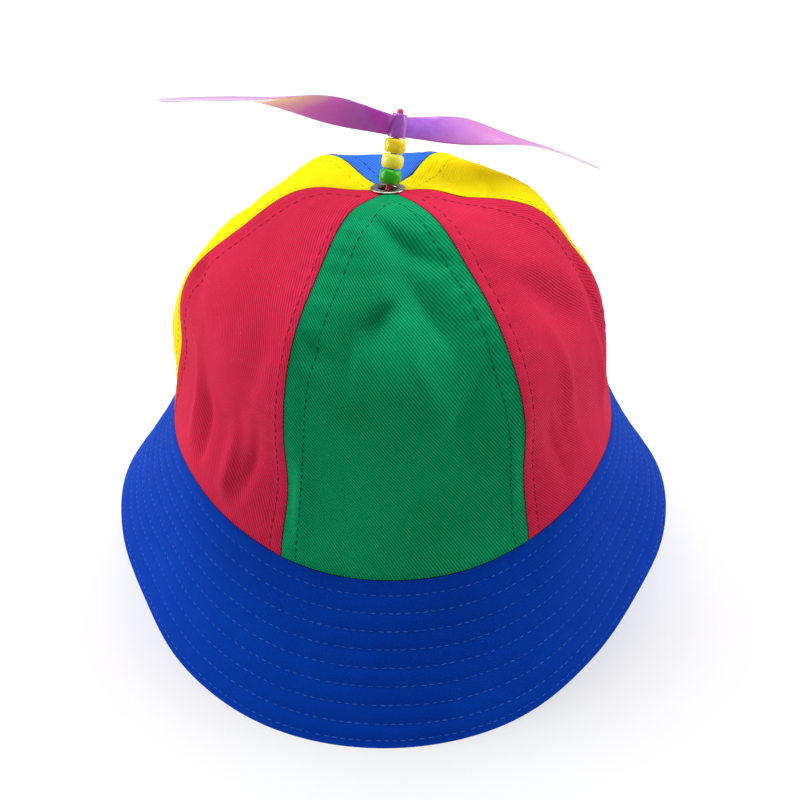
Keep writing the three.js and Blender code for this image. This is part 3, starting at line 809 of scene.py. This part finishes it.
quilt += brim["unevenness"] * softNoise(places, brim["unevenSize"], 32)
quilt *= smooth(fromSeam, *brim["quiltFromSeam"]) * smooth(fromRim, *brim["quiltFromRim"])
slope = math.radians(brim["slope"])
radius = np.hypot(places[:, 0], places[:, 1])
swell = np.stack((
    places[:, 0] / radius * math.sin(slope), places[:, 1] / radius * math.sin(slope),
    np.full(len(places), math.cos(slope)),
), axis=1)
aboveFloor = places[:, 2] > 0.05 * mm
tuck = brim["rimTuck"] * nearness(fromRim, brim["rimTuckWidth"]) * aboveFloor
tuck = np.maximum(tuck, brim["seamTuck"] * nearness(fromSeam, brim["seamTuckWidth"]))
quilted = places + swell * quilt[:, None] - normals * tuck[:, None]
quilted[:, 2] = np.maximum(quilted[:, 2], 0)  # the rim stays on the surface it lies on
setPlaces(brimCloth, quilted)
coneRadius = radius / brim["coneShare"]
coneTurn = azimuth * brim["coneShare"]
setClothMap(brimCloth, coneRadius * np.sin(coneTurn), coneRadius * np.cos(coneTurn))
# painted shade where the brim meets the crown
setPaintedSeamShade(brimCloth, nearness(fromSeam, brim["seamShade"]))
brimCloth.polygons.foreach_set("use_smooth", [True] * len(brimCloth.polygons))
addPiece("brim_cloth", brimCloth, "hat", brimBlueTwill, "brim")

brimTree = faceTree(brimCloth)
brimThread = bmesh.new()
chance = random.Random(41)


def onBrim(azimuth, fromSeam, fromRim):
    seam, rim = (Vector(atRing(ring, np.array([azimuth]))[0]) for ring in (seamRing, rimRing))
    along = (rim - seam).normalized()
    if fromRim is None and (rim - seam).length - fromSeam < brim["rowEnd"]:
        return None
    place = seam + along * fromSeam if fromRim is None else rim - along * fromRim
    out = Vector((math.sin(azimuth), -math.cos(azimuth), 0.6)).normalized()
    hit, normal, _, _ = brimTree.ray_cast(place + out * brim["castFrom"], -out, brim["castReach"])
    return (hit, normal) if hit else None


for fromSeam, fromRim in [(row, None) for row in rows] + [(None, brim["edgeRow"])]:
    azimuth = -math.pi
    points = []
    while azimuth < math.pi:
        first = onBrim(azimuth, fromSeam, fromRim)
        reach = math.hypot(first[0].x, first[0].y) if first else brim["usualReach"]
        second = onBrim(azimuth + brim["length"] / reach, fromSeam, fromRim)
        points += [first, second]
        azimuth += brim["pitch"] / reach
    sewRow(brimThread, points, brim["length"], brim["thickness"], chance)
brimStitches = meshOf(brimThread, "brim_stitches", threadShape["smoothBelow"])
addPiece("brim_stitches", brimStitches, "hat", brimBlueThread)
print("brim quilted")


# round pieces are spun from an outline of (radius, height) in mm
def spun(outline, steps, place):
    bm = bmesh.new()
    verts = [bm.verts.new((radius * mm, 0, height * mm)) for radius, height in outline]
    edges = [bm.edges.new(pair) for pair in zip(verts, verts[1:])]
    if outline[0][0] > 0 and outline[-1][0] > 0:
        edges.append(bm.edges.new((verts[-1], verts[0])))
    bmesh.ops.spin(
        bm, geom=verts + edges, cent=(0, 0, 0), axis=(0, 0, 1), dvec=(0, 0, 0),
        angle=2 * math.pi, steps=steps, use_merge=True,
    )
    bmesh.ops.remove_doubles(bm, verts=bm.verts, dist=mergeDistance)
    bmesh.ops.recalc_face_normals(bm, faces=bm.faces)
    bmesh.ops.transform(bm, matrix=place, verts=bm.verts)
    return bm


def arc(middle, radius, start, end, steps):
    turns = (math.radians(start + (end - start) * k / steps) for k in range(steps + 1))
    return [(middle[0] + radius * math.cos(t), middle[1] + radius * math.sin(t)) for t in turns]


def nodePlaces(node):
    return placesOf(nodes[node].data)


def placeAlong(point, direction):
    # turns a piece's own Z to the direction, and moves its origin to the point
    turn = Vector((0, 0, 1)).rotation_difference(direction)
    return Matrix.Translation(point) @ turn.to_matrix().to_4x4()


# the eyelet lies square to the cloth at the top, so its axis is the CAD ring's thin direction
eyelet = {
    "hole": 3.7, "barrel": 4.2, "lip": 6.7, "sheet": 0.7, "wall": 1.6, "clearance": 0.3, "roll": 0.42,
    "sink": 0.06,  # how far the lip's top sinks in between its two round edges
    "mouth": 0.7,  # rounding of the hole's upper edge
    "backLip": 0.8,  # how much smaller the lip inside the crown is
    "steps": 64,
}
ringPlaces = nodePlaces("top_eyelet")
ringMiddle = ringPlaces.mean(axis=0)
directions = np.linalg.eigh(np.cov((ringPlaces - ringMiddle).T))[1]
eyeletAxis = Vector(directions[:, 0])
if eyeletAxis.z < 0:
    eyeletAxis.negate()
alongAxis = (ringPlaces - ringMiddle) @ np.array(eyeletAxis)
eyeletTop = Vector(ringMiddle) + eyeletAxis * float(alongAxis.max())
eyeletPlace = placeAlong(eyeletTop, eyeletAxis)
hole, barrel, lip = eyelet["hole"], eyelet["barrel"], eyelet["lip"]
sheet, roll, mouth = eyelet["sheet"], eyelet["roll"], eyelet["mouth"]
backLip = lip - eyelet["backLip"]
bottom = -(eyelet["wall"] + 2 * eyelet["clearance"] + 2 * sheet)
eyeletOutline = (
    [(hole, bottom + sheet), (hole, -mouth - 0.4)]
    + arc((hole + mouth, -mouth), mouth, 180, 90, 6)
    + [((barrel + lip) / 2, -eyelet["sink"])]
    + arc((lip - roll, -roll), roll, 90, -90, 8)
    + [(barrel + 0.1, -sheet), (barrel, -sheet - 0.1)]
    + [(barrel, bottom + sheet), (backLip, bottom + sheet), (backLip, bottom)]
    + [(hole + 0.6, bottom), (hole + 0.1, bottom + 0.3)]
)
metal, tree, shader = newMaterial("eyeletMetal")
place = put(tree, "TexCoord").outputs["Object"]
skin = useGroup(tree, handledSkin, {"Place": place, "Mark Scale": 700.0, "Low": 0.22, "High": 0.5})
tarnish = useGroup(tree, cottonWear, {"Place": place, "Patch Scale": 260.0, "Lint": 0.0})
metalColour = mixColour(tree, skin["Tone"], paint(226, 212, 206), paint(178, 162, 154))
tarnished = maths(tree, "MULTIPLY", tarnish["Patches"], 0.4)
metalColour = mixColour(tree, tarnished, metalColour, paint(140, 110, 104))
feed(tree, shader.inputs["Base Color"], metalColour)
feed(tree, shader.inputs["Roughness"], skin["Roughness"])
shader.inputs["Metallic"].default_value = 1.0
addBump(tree, shader, skin["Height"], 0.2, 0.2 * mm)
ring = meshOf(spun(eyeletOutline, eyelet["steps"], eyeletPlace), "eyelet_ring")
addPiece("eyelet_ring", ring, "hat", metal, "top_eyelet")

# everything on the stem shares its axis, which is the propeller's joint
axis = Vector(spinJoint["axis"]).normalized()
axisPoint = Vector(spinJoint["pos_m"])
mastPlace = placeAlong(axisPoint, axis)


def spanOnAxis(node, within):
    # lowest and highest place of a node's middle on the stem's axis, in mm
    offsets = nodePlaces(node) - np.array(axisPoint)
    heights = offsets @ np.array(axis)
    beside = np.linalg.norm(offsets - np.outer(heights, np.array(axis)), axis=1)
    near = heights[beside < within * mm]
    return near.min() / mm, near.max() / mm


stem = {
    "radius": 1.15, "bulb": 4.6, "tip": 1.25,
    "neck": 1.5,  # the run from the bulb to the even rod
    "tipRun": 2.4,  # from the rod's end to the tip of the head
    "headRun": 2.0,
    "steps": 32,
}
low, high = spanOnAxis("stem", within=9)
bulbMiddle = low + stem["bulb"]
neck = math.degrees(math.asin(stem["radius"] / stem["bulb"]))
stemOutline = (
    [(0, low)] + arc((0, bulbMiddle), stem["bulb"], -84, 90 - neck, 16)
    + [(stem["radius"], bulbMiddle + stem["bulb"] + stem["neck"])]
    + [(stem["radius"], high - stem["tipRun"]), (stem["tip"], high - stem["headRun"])]
    + arc((0, high - stem["tip"]), stem["tip"], 0, 80, 6) + [(0, high)]
)
rod = meshOf(spun(stemOutline, stem["steps"], mastPlace), "stem_rod")
addPiece("stem_rod", rod, "hat", stemPlastic, "stem")

bead = {
    "bore": 1.45, "end": 2.9, "middle": 4.2, "fullness": 2.5, "roundness": 0.5, "chamfer": 0.35,
    "steps": 20, "around": 48,
}
for node, material, slotName in (
    ("bead_lower", greenBead, "bead_green"),
    ("bead_middle", paleBead, "bead_pale_yellow"),
    ("bead_upper", amberBead, "bead_amber"),
):
    low, high = spanOnAxis(node, within=6)
    middle, half = (low + high) / 2, (high - low) / 2
    outline = [(bead["bore"], low + bead["chamfer"]), (bead["bore"] + bead["chamfer"], low)]
    for k in range(bead["steps"] + 1):
        share = -math.cos(math.pi * k / bead["steps"])
        swell = (1 - abs(share) ** bead["fullness"]) ** bead["roundness"]
        outline.append((bead["end"] + (bead["middle"] - bead["end"]) * swell, middle + half * share))
    outline += [(bead["bore"] + bead["chamfer"], high), (bead["bore"], high - bead["chamfer"])]
    barrelMesh = meshOf(spun(outline, bead["around"], mastPlace), node + "_barrel", sharpAngle=60)
    addPiece(node + "_barrel", barrelMesh, "hat", material, node)
print("eyelet, stem and beads made")

# the propeller: two twisted blades on a tapered hub, moulded in one piece
propeller = {
    "length": 94, "width": 15, "sheet": 1.3, "edge": 0.7, "camber": 0.8, "turn": 25, "mount": 4.05,
    "tipStart": 0.93, "tipBlunt": 0.17, "steps": 90, "around": 28,
    "fullness": 0.35,  # below 1, the section's faces are flatter and its edges fuller
    "hubTop": 2.75, "hubFoot": 3.5, "bore": 1.5, "hubRound": 0.4, "hubSteps": 48,
    "boreRun": 2,  # how far the bore's cutter stands out at both ends
    # the left blade is painted a darker magenta than the right: painted shade of its face, which the
    # twist turns away from the light
    "sideShadeBlend": 6,  # how far each side of the hub the left blade's colour turns to the right one's
}
# sections from the axis to the tip, at even steps: share of the width, degrees of pitch, and how
# far the section stands above the plane of the spin, as a share of the length
bladeSections = [
    {"chord": 0.5, "pitch": 72, "lift": 0.0},
    {"chord": 0.62, "pitch": 64, "lift": 0.008},
    {"chord": 0.78, "pitch": 56, "lift": 0.016},
    {"chord": 0.92, "pitch": 46, "lift": 0.024},
    {"chord": 0.97, "pitch": 33, "lift": 0.028},
    {"chord": 0.92, "pitch": 20, "lift": 0.026},
    {"chord": 0.8, "pitch": 9, "lift": 0.018},
    {"chord": 0.72, "pitch": 1, "lift": 0.006},
    {"chord": 0.82, "pitch": 1, "lift": -0.01},
    {"chord": 0.9, "pitch": 3, "lift": -0.028},
    {"chord": 0.6, "pitch": 3, "lift": -0.046},
]


def sectionValue(column, share):
    steps = len(bladeSections) - 1
    place = min(max(share, 0), 1) * steps
    first = min(int(place), steps - 1)

    def pick(index):
        if index < 0:
            return 2 * bladeSections[0][column] - bladeSections[1][column]
        if index > steps:
            return 2 * bladeSections[steps][column] - bladeSections[steps - 1][column]
        return bladeSections[index][column]

    a, b, c, d = (pick(first + k) for k in (-1, 0, 1, 2))
    t = place - first
    return b + 0.5 * t * (c - a + t * (2 * a - 5 * b + 4 * c - d + t * (3 * (b - c) + d - a)))


def bladePlace(along, around, foot):
    # around runs once round the section, from the trailing edge over the top
    inTip = min(max((along - propeller["tipStart"]) / (1 - propeller["tipStart"]), 0), 1)
    tipRound = max(math.sqrt(1 - inTip * inTip), propeller["tipBlunt"])
    chord = propeller["width"] * sectionValue("chord", along) * tipRound
    pitch = math.radians(sectionValue("pitch", along))
    turn = 2 * math.pi * around
    across = -math.cos(turn) / 2
    flatness = math.copysign(abs(math.sin(turn)) ** propeller["fullness"], math.sin(turn)) / 2
    toEdge = 4 * across * across
    thick = propeller["sheet"] + (propeller["edge"] - propeller["sheet"]) * toEdge
    offset = propeller["camber"] * (1 - toEdge) * sectionValue("chord", along) + flatness * thick
    chordwise = across * chord
    return Vector((
        -along * propeller["length"],
        -chordwise * math.cos(pitch) + offset * math.sin(pitch),
        chordwise * math.sin(pitch) + offset * math.cos(pitch)
        + sectionValue("lift", along) * propeller["length"] + propeller["mount"] + foot,
    )) * mm


def bladeMesh(foot, turn, name):
    bm = bmesh.new()
    bmesh.ops.create_grid(
        bm, x_segments=propeller["steps"], y_segments=propeller["around"], size=0.5,
        matrix=Matrix.Translation((0.5, 0.5, 0)),
    )
    for vert in bm.verts:
        vert.co = bladePlace(vert.co.x, vert.co.y, foot)
    bmesh.ops.remove_doubles(bm, verts=bm.verts, dist=mergeDistance)
    bmesh.ops.holes_fill(bm, edges=[edge for edge in bm.edges if edge.is_boundary], sides=0)
    bmesh.ops.recalc_face_normals(bm, faces=bm.faces)
    bmesh.ops.rotate(bm, cent=(0, 0, 0), matrix=Matrix.Rotation(turn, 3, "Z"), verts=bm.verts)
    return meshOf(bm, name)


low, high = spanOnAxis("propeller", within=3.9)
rounding = propeller["hubRound"]
hubOutline = (
    [(0, low)] + arc((propeller["hubFoot"] - rounding, low + rounding), rounding, -90, 0, 4)
    + arc((propeller["hubTop"] - rounding, high - rounding), rounding, 0, 90, 4) + [(0, high)]
)
boreLow, boreHigh = low - propeller["boreRun"], high + propeller["boreRun"]
boreOutline = [(0, boreLow), (propeller["bore"], boreLow), (propeller["bore"], boreHigh), (0, boreHigh)]
flat = Matrix.Identity(4)
parts = {
    "hub": meshOf(spun(hubOutline, propeller["hubSteps"], flat), "hub"),
    "leftBlade": bladeMesh(low, 0, "leftBlade"),
    "rightBlade": bladeMesh(low, math.pi, "rightBlade"),
    "bore": meshOf(spun(boreOutline, propeller["hubSteps"], flat), "bore"),
}
parts = {name: bpy.data.objects.new(name, mesh) for name, mesh in parts.items()}
for part in parts.values():
    bpy.context.scene.collection.objects.link(part)
for name, operation in (("leftBlade", "UNION"), ("rightBlade", "UNION"), ("bore", "DIFFERENCE")):
    cut = parts["hub"].modifiers.new(name, "BOOLEAN")
    cut.object = parts[name]
    cut.operation = operation
    cut.solver = "EXACT"
depsgraph = bpy.context.evaluated_depsgraph_get()
propellerMesh = bpy.data.meshes.new_from_object(parts["hub"].evaluated_get(depsgraph))
propellerMesh.name = "propeller_blades"
for part in parts.values():
    bpy.data.objects.remove(part)
local = placesOf(propellerMesh) / mm
shares = np.hypot(local[:, 0], local[:, 1]) / propeller["length"]
layer = propellerMesh.attributes.new("reach", "FLOAT", "POINT")
layer.data.foreach_set("value", shares.astype(np.float32))
# side: where the painted shade of the left blade turns to the right blade's colour
layer = propellerMesh.attributes.new("side", "FLOAT", "POINT")
sides = 0.5 + 0.5 * smooth(local[:, 0], -propeller["sideShadeBlend"], propeller["sideShadeBlend"])
layer.data.foreach_set("value", sides.astype(np.float32))
spinPlace = mastPlace @ Matrix.Rotation(math.radians(propeller["turn"]), 4, "Z")
propellerMesh.transform(spinPlace)
propellerMesh.polygons.foreach_set("use_smooth", [True] * len(propellerMesh.polygons))
propellerMesh.set_sharp_from_angle(angle=math.radians(40))

purplePlastic, tree, shader = newMaterial("purplePlastic")
place = put(tree, "TexCoord").outputs["Object"]
reach = put(tree, "Attribute", attribute_name="reach").outputs["Fac"]
side = put(tree, "Attribute", attribute_name="side").outputs["Fac"]
skin = useGroup(tree, handledSkin, {"Place": place, "Mark Scale": 260.0, "Low": 0.06, "High": 0.16})
# painted shade: the left root darker and more magenta than the right
rootColour = mixColour(tree, side, paint(216, 58, 196), paint(184, 116, 230))
darkSwirls = ramp(tree, skin["Tone"], 0.0, 1.0, 0.0, 0.25)
rootColour = mixColour(tree, darkSwirls, rootColour, paint(170, 44, 170))
# deep colour at the roots fading to pale tips: painted light, the roots deepened where light passes
# through more plastic and the tips washed out by strong light
midColour = mixColour(tree, ramp(tree, reach, 0.08, 0.45), rootColour, paint(226, 150, 222))
bladeColour = mixColour(tree, ramp(tree, reach, 0.4, 0.95), midColour, paint(236, 200, 242))
feed(tree, shader.inputs["Base Color"], bladeColour)
feed(tree, shader.inputs["Roughness"], skin["Roughness"])
shader.inputs["Transmission Weight"].default_value = 0.2
shader.inputs["Subsurface Weight"].default_value = 0.3
shader.inputs["Subsurface Radius"].default_value = (0.003, 0.002, 0.003)
shader.inputs["Subsurface Scale"].default_value = 1.0
shader.inputs["IOR"].default_value = 1.46
shader.inputs["Coat Weight"].default_value = 0.4
shader.inputs["Coat Roughness"].default_value = 0.05
addBump(tree, shader, skin["Height"], 0.15, 0.3 * mm)
addPiece("propeller_blades", propellerMesh, "propeller", purplePlastic, "propeller")
print("propeller made")

# studio: pale floor, large soft lights from above and from both sides, the front left darker
studio = {"floorSize": 6.0, "world": 0.25}
floorMesh = bmesh.new()
bmesh.ops.create_grid(floorMesh, x_segments=4, y_segments=4, size=studio["floorSize"] / 2)
floor = bpy.data.objects.new("floor", meshOf(floorMesh, "floor"))
bpy.context.scene.collection.objects.link(floor)
floorPaint, tree, shader = newMaterial("floorPaint")
place = put(tree, "TexCoord").outputs["Object"]
cloudy = put(tree, "TexNoise", {"Vector": place, "Scale": 3.0, "Detail": 2.0})
floorColour = mixColour(tree, cloudy.outputs["Fac"], (0.94, 0.94, 0.94, 1), (0.96, 0.96, 0.96, 1))
feed(tree, shader.inputs["Base Color"], floorColour)
shader.inputs["Roughness"].default_value = 0.9
floor.data.materials.append(floorPaint)

lights = [
    {"name": "topBox", "place": (0.0, 0.26, 0.75), "aim": (0, 0.02, 0.12), "size": 0.8, "power": 6.2},
    {"name": "leftBox", "place": (-0.8, 0.1, 0.38), "aim": (0, 0, 0.07), "size": 0.6, "power": 4.6},
    {"name": "rightBox", "place": (0.85, 0.12, 0.42), "aim": (0, 0, 0.07), "size": 0.6, "power": 3.6},
    {"name": "frontBox", "place": (0.0, -1.2, 0.8), "aim": (0, 0, 0.07), "size": 0.7, "power": 0.2},
]
for setup in lights:
    lightData = bpy.data.lights.new(setup["name"], "AREA")
    lightData.size = setup["size"]
    lightData.energy = setup["power"]
    light = bpy.data.objects.new(setup["name"], lightData)
    light.location = setup["place"]
    towards = Vector(setup["aim"]) - Vector(setup["place"])
    light.rotation_euler = towards.to_track_quat("-Z", "Y").to_euler()
    bpy.context.scene.collection.objects.link(light)
world = bpy.data.worlds.new("studioWorld")
world.use_nodes = True
world.node_tree.nodes["Background"].inputs["Color"].default_value = (1, 1, 1, 1)
world.node_tree.nodes["Background"].inputs["Strength"].default_value = studio["world"]
bpy.context.scene.world = world
bpy.context.scene.view_settings.view_transform = "Standard"
print("studio lit")
